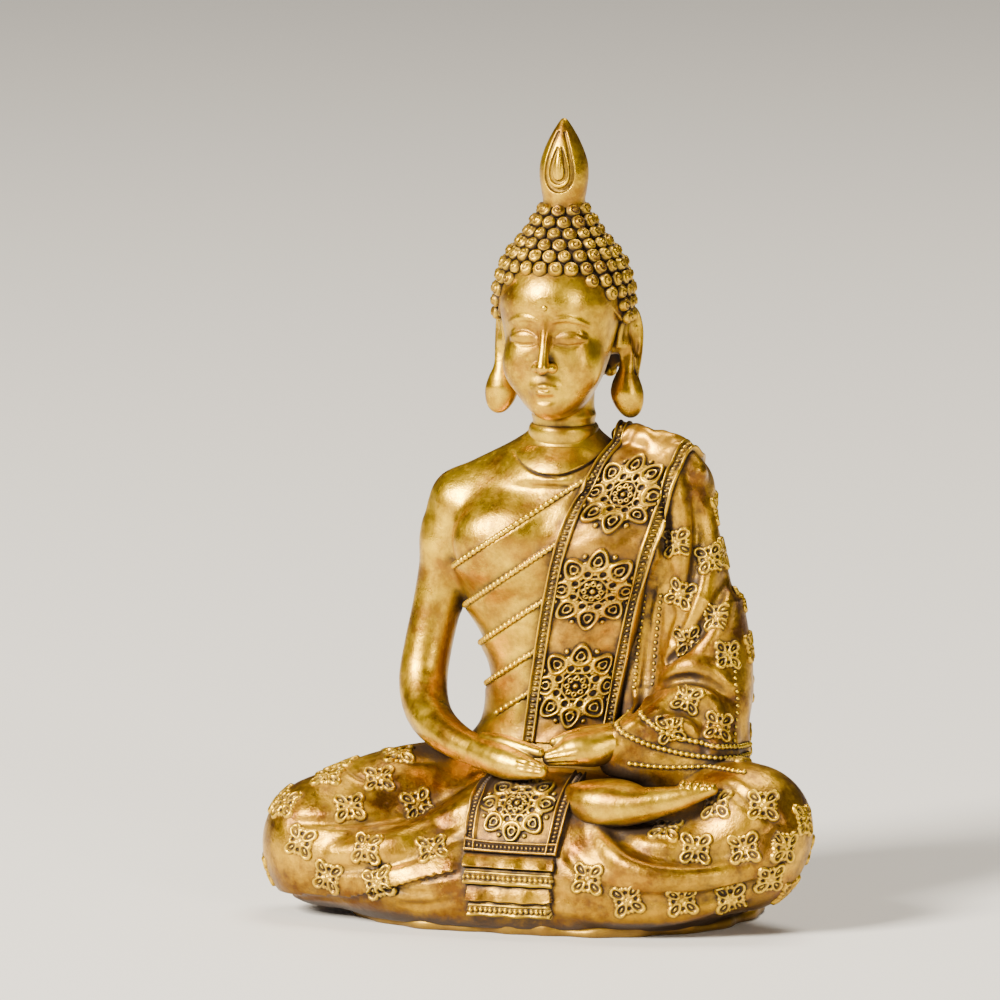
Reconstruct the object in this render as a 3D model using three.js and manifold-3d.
// A seated, meditating figure in cast polyresin, made in sections that plug into each other:
// a hollow lap casting on a rim slab, a hollow torso, a head with a curled hair cap and a flame finial,
// a bare right arm, a sleeved left arm, two folded hands, one crossed foot, and the applied dress trim.
// Units are millimetres, +Z is up, the figure faces -Y, and the origin is the middle of the underside.
// Every piece is first made about the neck's line (x 0, y 7), then moved so that the box is centred.
import * as THREE from "three";
import { mergeVertices } from "three/addons/utils/BufferGeometryUtils.js";
import Module from "manifold-3d";

const wasm = await Module();
wasm.setup();

// Heights
const FINIAL_HEIGHT = 25.7;
const FINIAL_SEAT_Z = 214;
const NECK_SEAT_Z = 141;
const SHOULDER_Z = 124;
const RIM_TOP = 5;
const NECK_LINE_Y = 7; // the neck, the skull and the finial are turned about x 0 and this y
const MIDDLE = [-0.25, -4.043]; // the middle of the figure's box, moved onto the origin

// Fits and walls
const GAP = 0.3; // glue gap between two seated pieces
const WALL = 7; // wall of the hollow castings
const PEG = { finial: 2.6, neck: 6.5, shoulder: 3.5, wrist: 2, ear: 1 }; // peg radii
const CURL_RELIEF = 3; // the hair's curls stand this far off the skull
const SMOOTHING = 0.06; // facets finer than this are merged, well inside the glue gap

// Relief of the applied trim: how far each piece stands off the body
const RELIEF = {
  cord: 1.9,
  panel: 1.6,
  border: 2.5,
  medallion: 3,
  hem: 2,
  apron: 2.2,
  apronMedallion: 3.6,
  pleat: 3.4,
};
const PLEAT_STEP = 0.5; // each pleat stands out this much less than the one above
const CORD_WIDTH = 1.9;
const SASH_BORDER = 3.8;
const MEDALLION_RADIUS = 7.6;
const HEM_WIDTH = 2.2;
const PLEATS = 4;

// The depth that the front trim's stencils reach through
const FRONT = [-70, 5];

// Finishes
const GOLD = { color: 0xb98a2c, roughness: 0.42, metalness: 0.85 };
const BRIGHT_GOLD = { color: 0xc99b3a, roughness: 0.36, metalness: 0.9 };
const DARK_GOLD = { color: 0x8d6420, roughness: 0.5, metalness: 0.8 };

// Masses as lists of ellipsoids [centre, radii], limbs [x, y, z, radius] and sections.
const KNEE_X = 66;
const LEGS = {
  balls: [
    [[0, 10, 25], [49, 35, 27]],
    [[0, -20, 18], [58, 30, 19]],
    [[4, -20, 26], [42, 26, 19]],
  ],
  limbs: [
    [[-24, 6, 30, 21], [-46, -9, 29, 20.5], [-KNEE_X, -22, 23, 19]],
    [[24, 6, 31, 21], [46, -9, 31, 21.5], [KNEE_X - 1, -21, 29, 19.5]],
    [[-KNEE_X, -24, 20, 17], [-30, -34, 16, 15], [4, -36, 16, 14]],
    [[KNEE_X, -24, 22, 17], [34, -35, 18, 16], [0, -36, 16, 14]],
  ],
};

// Torso sections from the seat to the neck's root: [z, x, y, half width, half depth].
const TORSO = [
  [44, 0, 8, 33, 25],
  [60, 0, 7, 25, 19],
  [70, 0, 6.5, 22.5, 17],
  [80, 0, 6, 24, 17],
  [92, 0, 6, 28, 18.5],
  [106, 0, 6, 32, 20],
  [118, 0, 6, 34.5, 19.5],
  [126, 0, 6, 35, 17.5],
  [132, 0, 6.5, 33.5, 15.5],
  [136.5, 0, 7, 29, 14],
  [NECK_SEAT_Z, 0, 7, 16, 12],
];
const SPIGOT_Z = 49; // the torso plugs into the lap down to here

const RIGHT_ARM = [
  [-32.5, 6, 125, 9.4],
  [-37, 5.5, 108, 8],
  [-40, 4, 88, 7.3],
  [-42.5, 0, 67, 7.3],
  [-33, -15, 57, 6.2],
  [-18, -28, 51.5, 4.8],
];
const LEFT_ARM = [
  [34.5, 6, 128.5, 10.5],
  [40.5, 5, 108, 10],
  [46, 4, 86, 9.8],
  [47, 0, 67, 10],
  [38, -14, 58, 8.5],
  [28, -25, 54, 6],
];
const SLEEVE_FALL = [
  [44, 43, -2, 16, 18],
  [54, 44, -2, 15, 18],
  [64, 44.5, -1, 14.5, 16],
  [76, 45, 2, 12.5, 12.5],
  [92, 45, 4, 10.5, 10.5],
];

// Palms up, the right hand lying on the left; the crossed foot in front of them.
const RIGHT_HAND = [
  [-15.5, -30.5, 51.5, 4.4],
  [-7, -35, 51, 5],
  [2, -37.5, 50.5, 4.6],
  [10, -38, 50.5, 3.2],
];
const LEFT_HAND = [
  [27, -27, 52.5, 4.6],
  [18, -31, 52, 4.6],
  [12, -29, 52, 4.4],
  [6, -27.5, 52, 3.4],
];
const FOOT = [
  [19, -38, 39.5, 6.8],
  [34, -39, 40, 6.6],
  [48, -38.5, 42.5, 5],
  [58, -37, 44.8, 3.4],
];

// The head's parts as ellipsoids, and an ear with its hanging lobe as a limb.
const SKULL = [[[0, 7, 184], [19, 21, 21]], [[0, 7, 200], [13, 13.5, 13]]];
const FACE = [[[0, 0, 171], [14.5, 16.5, 20]], [[0, 1, 183], [16.5, 17, 17]]];
const CHIN = [[0, -7.5, 158], [8, 7.5, 7.5]];
const NOSE = [[0, -15.5, 181, 1.4], [0, -17.5, 172.5, 2.2]];
const URNA = [[0, -15.1, 189.5], [1.2, 1.2, 1.2]];
const EAR = [
  [18.6, 8.5, 181, 1.8],
  [19.6, 8.5, 174, 2.5],
  [19.4, 8, 164, 2.8],
  [19.8, 7.4, 156, 4.2],
];
const EAR_PIN = [8.3, 175]; // y, z of the pin that holds an ear
const BROW_Z = 195; // the hairline over the brow
const NAPE_Z = 171;

// Turned profiles as [radius, height above the seat].
const COLLAR = [[0, -6], [13, -6], [13.6, 1], [12.4, 4], [0, 4]];
const NECK = [
  [0, 0],
  [11, 0],
  [10.6, 3],
  [11.6, 6],
  [11.6, 8],
  [10.8, 10.5],
  [10.2, 16],
  [10.2, 24],
  [0, 24],
];
const BUD = [
  [0, 0],
  [6.3, 0],
  [5.8, 2],
  [6.6, 5],
  [7.5, 10],
  [7, 14],
  [5.2, 19],
  [2.8, 23],
  [0.9, 25.2],
  [0, FINIAL_HEIGHT],
];

// The sash's edges from the lap to the top of the shoulder: [z, left x, right x], and behind it.
const SASH = [
  [57, -7.4, 19.8],
  [70, -6.2, 22],
  [91, -2.6, 26.5],
  [115, 3.6, 34],
  [130, 10.5, 39],
  [146, 18, 45],
];
const BACK_SASH = [
  [60, 2, 20],
  [90, 5, 25],
  [115, 9, 31],
  [130, 13, 36],
  [146, 18, 42],
];
const SASH_MEETS_SLEEVE_Z = 80; // below this the sash stops clear of the sleeve
const MEDALLIONS = { lower: [7.6, 69], middle: [13.6, 98], upper: [23.6, 126] };

// Beaded cords across the bare side of the chest: [start x, start z, end x, end z].
const CORDS = [
  [-34, 101, 9.5, 132.5],
  [-31, 90, 2.2, 113],
  [-29, 77, -2.6, 94.5],
  [-27, 65, -5.6, 79],
  [-28, 55, -7.4, 65],
];

// The sash's end over the shins: [x, z] corners of its top, its fold and its hem.
const APRON_TOP = [[-16, 46], [16, 46]];
const APRON_FOLD = [[-16.8, 24], [12.5, 23.5]];
const APRON_HEM = [[-15, 6.5], [12, 6.5]];
const APRON_BACK_Y = -26; // the apron starts in front of the hands
const APRON_MEDALLION = [0.8, 34];

// The sleeve's two beaded hems on its fall: [x, z] from the wrist to the outer corner.
const HEMS = {
  upper: [[26, 62], [34, 57], [46, 54], [62, 53]],
  lower: [[22, 57], [30, 52], [42, 49], [62, 48]],
};

// ---------------------------------------------------------------- solids from three.js geometry

// A closed geometry as a solid.
function solid(geometry) {
  const bare = geometry.clone();
  bare.deleteAttribute("normal");
  bare.deleteAttribute("uv");
  const merged = mergeVertices(bare, 1e-4);
  return new wasm.Manifold(
    new wasm.Mesh({
      numProp: 3,
      vertProperties: merged.attributes.position.array,
      triVerts: new Uint32Array(merged.index.array),
    }),
  );
}

const join = (pieces) => pieces.reduce((a, b) => a.add(b));

// The largest single body, so that no sliver of a cut stays.
const whole = (piece) => piece.decompose().sort((a, b) => b.volume() - a.volume())[0];

// A mass that grows by g on every side, remembered for each growth asked for.
function growing(make) {
  const made = new Map();
  return (g = 0) => {
    if (!made.has(g)) made.set(g, make(g));
    return made.get(g);
  };
}

// An ellipsoid with its poles on Z, grown by g.
function ball([centre, radii], g = 0, segments = 18) {
  const shape = new THREE.SphereGeometry(1, segments, Math.round(segments * 0.6));
  shape.rotateX(Math.PI / 2);
  shape.scale(...radii.map((r) => r + g));
  shape.translate(...centre);
  return solid(shape);
}

// A round tube through points [x, y, z, radius], with a ball on each end, grown by g.
function limb(points, g = 0, around = 12, steps = 8) {
  const path = new THREE.CatmullRomCurve3(points.map(([x, y, z]) => new THREE.Vector3(x, y, z)));
  const widths = new THREE.CatmullRomCurve3(points.map((p) => new THREE.Vector3(p[3], 0, 0)));
  const { normals, binormals } = path.computeFrenetFrames(steps, false);
  const tube = new THREE.CylinderGeometry(1, 1, 1, around, steps);
  const at = tube.attributes.position;
  for (let i = 0; i < at.count; i++) {
    const step = Math.round((at.getY(i) + 0.5) * steps);
    const radius = widths.getPoint(step / steps).x + g;
    const centre = path.getPointAt(step / steps);
    centre.addScaledVector(normals[step], at.getZ(i) * radius);
    centre.addScaledVector(binormals[step], at.getX(i) * radius);
    at.setXYZ(i, centre.x, centre.y, centre.z);
  }
  const ends = [points[0], points.at(-1)];
  return join([solid(tube), ...ends.map(([x, y, z, r]) => ball([[x, y, z], [r, r, r]], g, around))]);
}

// A stack of rounded sections [z, centre x, centre y, half width, half depth], grown by g.
function loft(sections, g = 0, around = 28) {
  const rings = sections.length - 1;
  const stack = new THREE.CylinderGeometry(1, 1, 1, around, rings);
  const at = stack.attributes.position;
  const bulge = (v) => Math.sign(v) * Math.abs(v) ** 0.87;
  for (let i = 0; i < at.count; i++) {
    const [z, x, y, a, b] = sections[Math.round((at.getY(i) + 0.5) * rings)];
    at.setXYZ(i, x + (a + g) * bulge(at.getX(i)), y - (b + g) * bulge(at.getZ(i)), z);
  }
  return solid(stack);
}

// A turned piece from a profile that starts and ends on the axis.
function turned(profile, z, around = 20) {
  const shape = new THREE.LatheGeometry(profile.map(([r, h]) => new THREE.Vector2(r, h)), around);
  shape.rotateX(Math.PI / 2);
  shape.translate(0, NECK_LINE_Y, z);
  return solid(shape);
}

// A round peg of radius r between two points.
function peg(from, to, r) {
  const [a, b] = [new THREE.Vector3(...from), new THREE.Vector3(...to)];
  const bar = new THREE.CylinderGeometry(r, r, a.distanceTo(b), 14);
  const aim = new THREE.Quaternion();
  aim.setFromUnitVectors(new THREE.Vector3(0, 1, 0), b.clone().sub(a).normalize());
  bar.applyQuaternion(aim);
  bar.translate(...a.add(b).multiplyScalar(0.5).toArray());
  return solid(bar);
}

// A plan outline, extruded from z0 to z1.
function slab(outline, z0, z1) {
  const extent = { depth: z1 - z0, bevelEnabled: false };
  const plate = new THREE.ExtrudeGeometry(new THREE.Shape(outline), extent);
  plate.translate(0, 0, z0);
  return solid(plate);
}

// A front-view outline of [x, z] points, pushed through the figure from y0 to y1.
function stencil(points, y0, y1) {
  const shape = new THREE.Shape(points.map(([x, z]) => new THREE.Vector2(x, z)));
  const prism = new THREE.ExtrudeGeometry(shape, { depth: y1 - y0, bevelEnabled: false });
  prism.rotateX(Math.PI / 2);
  prism.translate(0, y1, 0);
  return solid(prism);
}

// A box between two corners.
function box([x0, y0, z0], [x1, y1, z1]) {
  const shape = new THREE.BoxGeometry(x1 - x0, y1 - y0, z1 - z0);
  shape.translate((x0 + x1) / 2, (y0 + y1) / 2, (z0 + z1) / 2);
  return solid(shape);
}

// ---------------------------------------------------------------- the figure's masses

const legsMass = growing((g) =>
  join([...LEGS.balls.map((b) => ball(b, g, 22)), ...LEGS.limbs.map((l) => limb(l, g, 14))]),
);
const torsoMass = growing((g) => loft(TORSO, g));
const rightArmMass = growing((g) => limb(RIGHT_ARM, g, 14, 12));
const leftArmMass = growing((g) => limb(LEFT_ARM, g, 14, 12));
const sleeveMass = growing((g) => leftArmMass(g).add(loft(SLEEVE_FALL, g, 20)));
const shoulderMass = growing((g) => torsoMass(g).add(leftArmMass(g)));
const handsMass = growing((g) => limb(RIGHT_HAND, g).add(limb(LEFT_HAND, g)));
const footMass = growing((g) => limb(FOOT, g));
const skullMass = growing((g) => join(SKULL.map((b) => ball(b, g))));
const headMass = growing((g) => join([skullMass(g), ...FACE.map((b) => ball(b, g))]));
const collarMass = growing((g) => {
  const grown = COLLAR.map(([r, z]) => [r > 0 ? r + g : 0, z > 1 ? z + g : z]);
  return turned(grown, NECK_SEAT_Z);
});
const earMass = (side, g) => limb(EAR.map(([x, y, z, r]) => [side * x, y, z, r]), g, 10, 7);
const skin = (mass, low, high) => mass(high).subtract(mass(low));

const neckPeg = (grow) =>
  peg([0, NECK_LINE_Y, NECK_SEAT_Z - 10 - grow], [0, NECK_LINE_Y, NECK_SEAT_Z + 8], PEG.neck + grow);
const finialPeg = (grow) => {
  const foot = [0, NECK_LINE_Y, FINIAL_SEAT_Z - 8 - grow];
  return peg(foot, [0, NECK_LINE_Y, FINIAL_SEAT_Z + 2], PEG.finial + grow);
};
const wristPeg = (grow) => peg([-23, -24, 53], [-14, -32, 51], PEG.wrist + grow);
const shoulderPeg = (side, grow) =>
  peg([side * (22 - grow), 6, SHOULDER_Z], [side * 37, 6, SHOULDER_Z], PEG.shoulder + grow);
const earPin = (side, grow) =>
  peg([side * (12.5 - grow), ...EAR_PIN], [side * 19, ...EAR_PIN], PEG.ear + grow);

// ---------------------------------------------------------------- sections of the figure

// A broad oval slab with a softly uneven edge, left showing as a rim under the legs.
const RIM_RADII = [61, 47];
const RIM_WAVE = 0.7;
function baseRim() {
  const points = 48;
  const bulge = (v) => Math.sign(v) * Math.abs(v) ** 0.8;
  const outline = Array.from({ length: points }, (_, i) => {
    const t = (i / points) * 2 * Math.PI;
    const wave = RIM_WAVE * (Math.sin(5 * t + 1) + 0.6 * Math.sin(9 * t));
    const [a, b] = RIM_RADII.map((r) => r + wave);
    return new THREE.Vector2(a * bulge(Math.cos(t)), b * bulge(Math.sin(t)) - 2);
  });
  return slab(outline, 0, RIM_TOP);
}

// The crossed legs under the robe: hollow from below, with a pocket for the torso's spigot.
function lapCasting() {
  const floor = box([-100, -80, -20], [100, 80, RIM_TOP + GAP]);
  const thinned = ([centre, radii]) => ball([centre, radii.map((r) => r - WALL)]);
  const hollow = LEGS.balls.slice(0, 2).map(thinned);
  const pocket = loft(TORSO.slice(0, 3), GAP).intersect(box([-60, -60, SPIGOT_Z - GAP], [60, 60, 80]));
  return legsMass().subtract(join([floor, ...hollow, pocket, handsMass(GAP), footMass(GAP)]));
}

// Chest and back, hollow from below, with sockets for the neck and both shoulders.
function torsoCasting() {
  const core = loft(TORSO.slice(0, 8).map(([z, x, y, a, b]) => [z - WALL, x, y, a - WALL, b - WALL]));
  const trimmed = torsoMass().intersect(box([-60, -40, SPIGOT_Z], [60, 60, NECK_SEAT_Z + 1]));
  const sockets = join([neckPeg(GAP), shoulderPeg(1, GAP), shoulderPeg(-1, GAP)]);
  return trimmed.subtract(join([core, sockets, collarMass(GAP)]));
}

const neckCollar = () => collarMass().subtract(neckPeg(GAP));

function headCasting() {
  const neck = turned(NECK, NECK_SEAT_Z + 4 + GAP);
  const sockets = join([finialPeg(GAP), earPin(1, GAP), earPin(-1, GAP)]);
  return join([headMass(), limb(NOSE, 0, 10, 2), ball(CHIN), neck, neckPeg(0)]).subtract(sockets);
}

// The curled hair as one shell over the skull, open round the face and under the nape.
function hairCap() {
  const openings = join([
    headMass(GAP),
    box([-16, -40, 150], [16, 2, BROW_Z]),
    box([-30, -40, 150], [30, 40, NAPE_Z]),
    box([-30, -40, 150], [30, 3, 183]),
    box([-10, -5, FINIAL_SEAT_Z], [10, 20, FINIAL_SEAT_Z + 8]),
    ...[1, -1].flatMap((side) => [earMass(side, GAP), earPin(side, GAP)]),
    finialPeg(GAP),
  ]);
  return whole(skullMass(CURL_RELIEF).subtract(openings));
}

const flameFinial = () => turned(BUD, FINIAL_SEAT_Z + GAP).add(finialPeg(0));
const ear = (side) => whole(earMass(side, 0).subtract(headMass(GAP))).add(earPin(side, 0));
const urna = () => whole(ball(URNA, 0, 10).subtract(headMass(GAP)));

function rightArm() {
  const bare = whole(rightArmMass().subtract(join([torsoMass(GAP), legsMass(GAP)])));
  return whole(bare.add(shoulderPeg(-1, 0)).subtract(join([limb(RIGHT_HAND, GAP), wristPeg(GAP)])));
}

const rightHand = () => limb(RIGHT_HAND).add(wristPeg(0));
const leftHand = () => whole(limb(LEFT_HAND).subtract(limb(RIGHT_HAND, GAP)));
const crossedFoot = () => whole(footMass().subtract(handsMass(GAP)));

// The covered arm, with the cloth that falls from it to the lap.
function leftSleeve() {
  const cloth = whole(sleeveMass().subtract(join([torsoMass(GAP), legsMass(GAP)])));
  return whole(cloth.add(shoulderPeg(1, 0)).subtract(join([handsMass(GAP), footMass(GAP)])));
}

// ---------------------------------------------------------------- applied dress trim

// The part of a skin that a front-view outline covers, clear of the neighbours in the way.
function applied(outline, [y0, y1], covering, inTheWay = []) {
  const piece = stencil(outline, y0, y1).intersect(covering);
  return whole(inTheWay.length ? piece.subtract(join(inTheWay)) : piece);
}

// A strip between two edges that are each a share of the sash's width plus an offset.
function strip(edges, [shareA, offsetA], [shareB, offsetB]) {
  const edge = (share, offset) =>
    edges.map(([z, left, right]) => [left + (right - left) * share + offset, z]);
  return [...edge(shareA, offsetA), ...edge(shareB, offsetB).reverse()];
}

const sashSkin = (low, high) => skin(shoulderMass, low, high);
const lowSleeve = sleeveMass(GAP).intersect(box([20, -60, 40], [80, 60, SASH_MEETS_SLEEVE_Z]));
const sashNeighbours = [handsMass(GAP), collarMass(GAP), lowSleeve];

const sashPanel = () =>
  applied(
    strip(SASH, [0, SASH_BORDER + GAP], [1, -SASH_BORDER - GAP]),
    FRONT,
    sashSkin(GAP, RELIEF.panel),
    sashNeighbours,
  );
const sashBorder = (from, to) =>
  applied(strip(SASH, from, to), FRONT, sashSkin(GAP, RELIEF.border), sashNeighbours);

// An eight-petalled rosette standing on the sheet under it.
function medallion([x, z], radius, mass, low, high) {
  const petals = 8;
  const points = petals * 3;
  const outline = Array.from({ length: points }, (_, i) => {
    const t = (i / points) * 2 * Math.PI;
    const r = radius * (0.87 + 0.13 * Math.cos(petals * t));
    return [x + r * Math.cos(t), z + r * Math.sin(t)];
  });
  return applied(outline, FRONT, skin(mass, low, high));
}
const sashMedallion = (at) =>
  medallion(at, MEDALLION_RADIUS, shoulderMass, RELIEF.panel + GAP, RELIEF.medallion);
const apronMedallion = () =>
  medallion(APRON_MEDALLION, MEDALLION_RADIUS, legsMass, RELIEF.apron + GAP, RELIEF.apronMedallion);

// A narrow strip along a line of [x, z] points.
function ribbon(points, width) {
  const line = points.map(([x, z]) => new THREE.Vector2(x, z));
  const side = (sign) =>
    line.map((p, i) => {
      const next = line[Math.min(i + 1, line.length - 1)];
      const along = next.clone().sub(line[Math.max(i - 1, 0)]).normalize();
      return [p.x - (sign * along.y * width) / 2, p.y + (sign * along.x * width) / 2];
    });
  return [...side(-1), ...side(1).reverse()];
}

function chestCord([x0, z0, x1, z1]) {
  const sashGrown = stencil(strip(SASH, [0, -GAP], [1, GAP]), ...FRONT);
  const line = ribbon([[x0, z0], [x1, z1]], CORD_WIDTH);
  const inTheWay = [sashGrown, rightArmMass(GAP), legsMass(GAP)];
  return applied(line, FRONT, skin(torsoMass, GAP, RELIEF.cord), inTheWay);
}

const backSash = () =>
  applied(
    strip(BACK_SASH, [0, 0], [1, 0]),
    [FRONT[1] + GAP, 60],
    sashSkin(GAP, RELIEF.panel),
    [collarMass(GAP), sleeveMass(GAP).intersect(box([20, -60, 40], [80, 60, SASH_MEETS_SLEEVE_Z + 10]))],
  );

const sleeveHem = (line) =>
  applied(ribbon(line, HEM_WIDTH), FRONT, skin(sleeveMass, GAP, RELIEF.hem), [
    legsMass(GAP),
    footMass(GAP),
    handsMass(GAP),
    torsoMass(RELIEF.medallion + GAP),
  ]);

function apronPanel() {
  const outline = [...APRON_FOLD, ...APRON_TOP.toReversed()];
  const inTheWay = [handsMass(GAP), footMass(GAP)];
  return applied(outline, [FRONT[0], APRON_BACK_Y], skin(legsMass, GAP, RELIEF.apron), inTheWay);
}

// One of the folds under the panel, each standing a little less far out than the one above.
function apronPleat(index) {
  const mix = (a, b, t) => a.map((v, i) => v + (b[i] - v) * t);
  const level = (t) => [mix(APRON_FOLD[0], APRON_HEM[0], t), mix(APRON_FOLD[1], APRON_HEM[1], t)];
  const [upper, lower] = [level((index + 0.06) / PLEATS), level((index + 0.94) / PLEATS)];
  const relief = RELIEF.pleat - index * PLEAT_STEP;
  return applied([...lower, ...upper.reverse()], [FRONT[0], APRON_BACK_Y], skin(legsMass, GAP, relief));
}

// ---------------------------------------------------------------- assembly

const figure = new THREE.Group();

function add(name, piece, look) {
  const { vertProperties, triVerts } = piece.simplify(SMOOTHING).getMesh();
  const shape = new THREE.BufferGeometry();
  shape.setAttribute("position", new THREE.BufferAttribute(vertProperties, 3));
  shape.setIndex(new THREE.BufferAttribute(triVerts, 1));
  shape.translate(-MIDDLE[0], -MIDDLE[1], 0);
  shape.computeVertexNormals();
  const mesh = new THREE.Mesh(shape, new THREE.MeshStandardMaterial(look));
  mesh.name = name;
  figure.add(mesh);
}

add("base_rim", baseRim(), GOLD);
add("lap_casting", lapCasting(), GOLD);
add("torso_casting", torsoCasting(), GOLD);
add("neck_collar", neckCollar(), BRIGHT_GOLD);
add("head_casting", headCasting(), BRIGHT_GOLD);
add("hair_cap", hairCap(), DARK_GOLD);
add("flame_finial", flameFinial(), BRIGHT_GOLD);
add("ear_right", ear(-1), BRIGHT_GOLD);
add("ear_left", ear(1), BRIGHT_GOLD);
add("urna", urna(), BRIGHT_GOLD);
add("right_arm", rightArm(), BRIGHT_GOLD);
add("right_hand", rightHand(), BRIGHT_GOLD);
add("left_sleeve", leftSleeve(), GOLD);
add("left_hand", leftHand(), BRIGHT_GOLD);
add("crossed_foot", crossedFoot(), BRIGHT_GOLD);
add("sash_panel", sashPanel(), DARK_GOLD);
add("sash_border_inner", sashBorder([0, 0], [0, SASH_BORDER]), GOLD);
add("sash_border_outer", sashBorder([1, -SASH_BORDER], [1, 0]), GOLD);
for (const [place, at] of Object.entries(MEDALLIONS))
  add("sash_medallion_" + place, sashMedallion(at), GOLD);
CORDS.forEach((cord, i) => add("chest_cord_" + (i + 1), chestCord(cord), GOLD));
add("back_sash", backSash(), DARK_GOLD);
for (const [place, line] of Object.entries(HEMS)) add("sleeve_hem_" + place, sleeveHem(line), GOLD);
add("apron_panel", apronPanel(), DARK_GOLD);
add("apron_medallion", apronMedallion(), GOLD);
for (let i = 0; i < PLEATS; i++) add("apron_pleat_" + (i + 1), apronPleat(i), GOLD);

export default figure;
